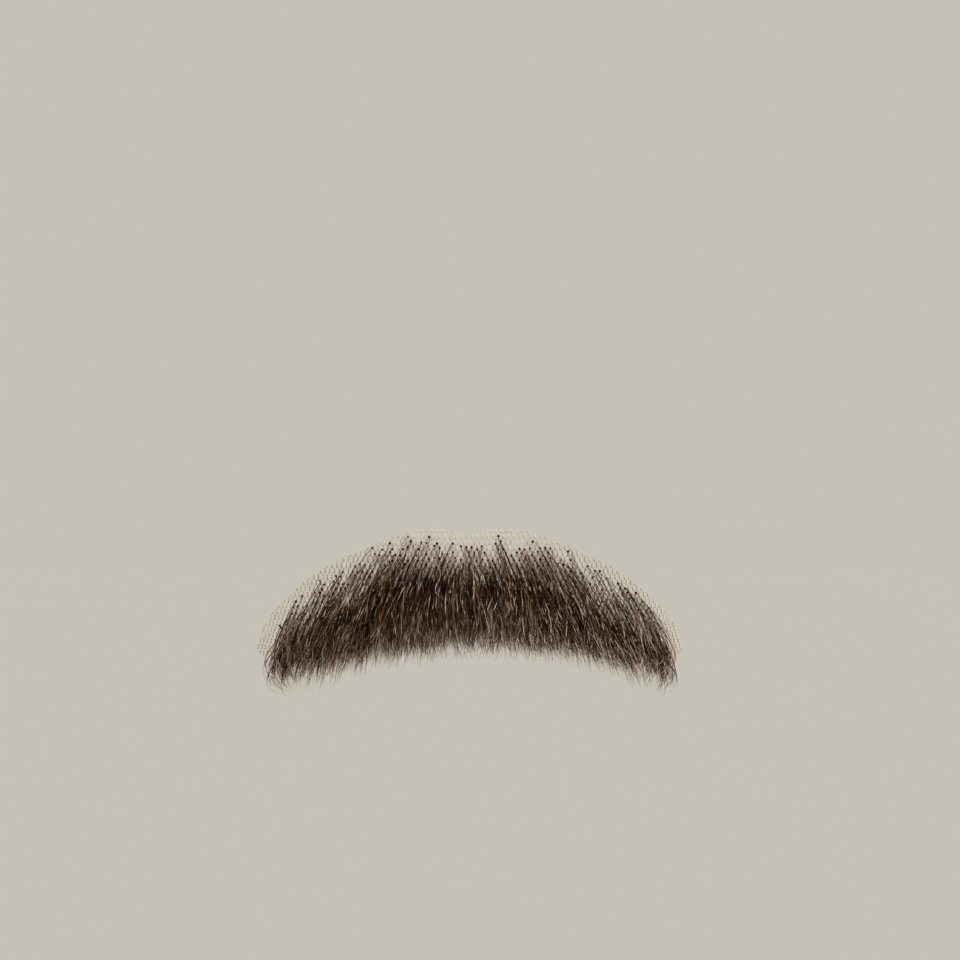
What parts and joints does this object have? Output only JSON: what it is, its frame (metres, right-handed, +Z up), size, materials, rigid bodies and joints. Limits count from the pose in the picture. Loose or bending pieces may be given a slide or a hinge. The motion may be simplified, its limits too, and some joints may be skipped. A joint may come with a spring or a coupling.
{
  "type": "fake moustache",
  "caption": "Fake moustache: wings of combed brown hair knotted into a crescent of fine lace net, bent to fit the upper lip, where it is glued on.",
  "frame": {"origin": "middle of the back of the lace, on the wearer's upper lip", "axes": "+X along the lip, to the right as seen from the front; +Y towards the wearer's face; +Z up"},
  "size_m": [0.079, 0.0213, 0.03],
  "materials": {
    "lace": "fine ivory hexagonal net",
    "hair": "dark brown human hair with a soft sheen"
  },
  "bodies": {
    "root": {"lace_base": "lace", "left_wing": "hair", "right_wing": "hair"}
  },
  "joints": []
}
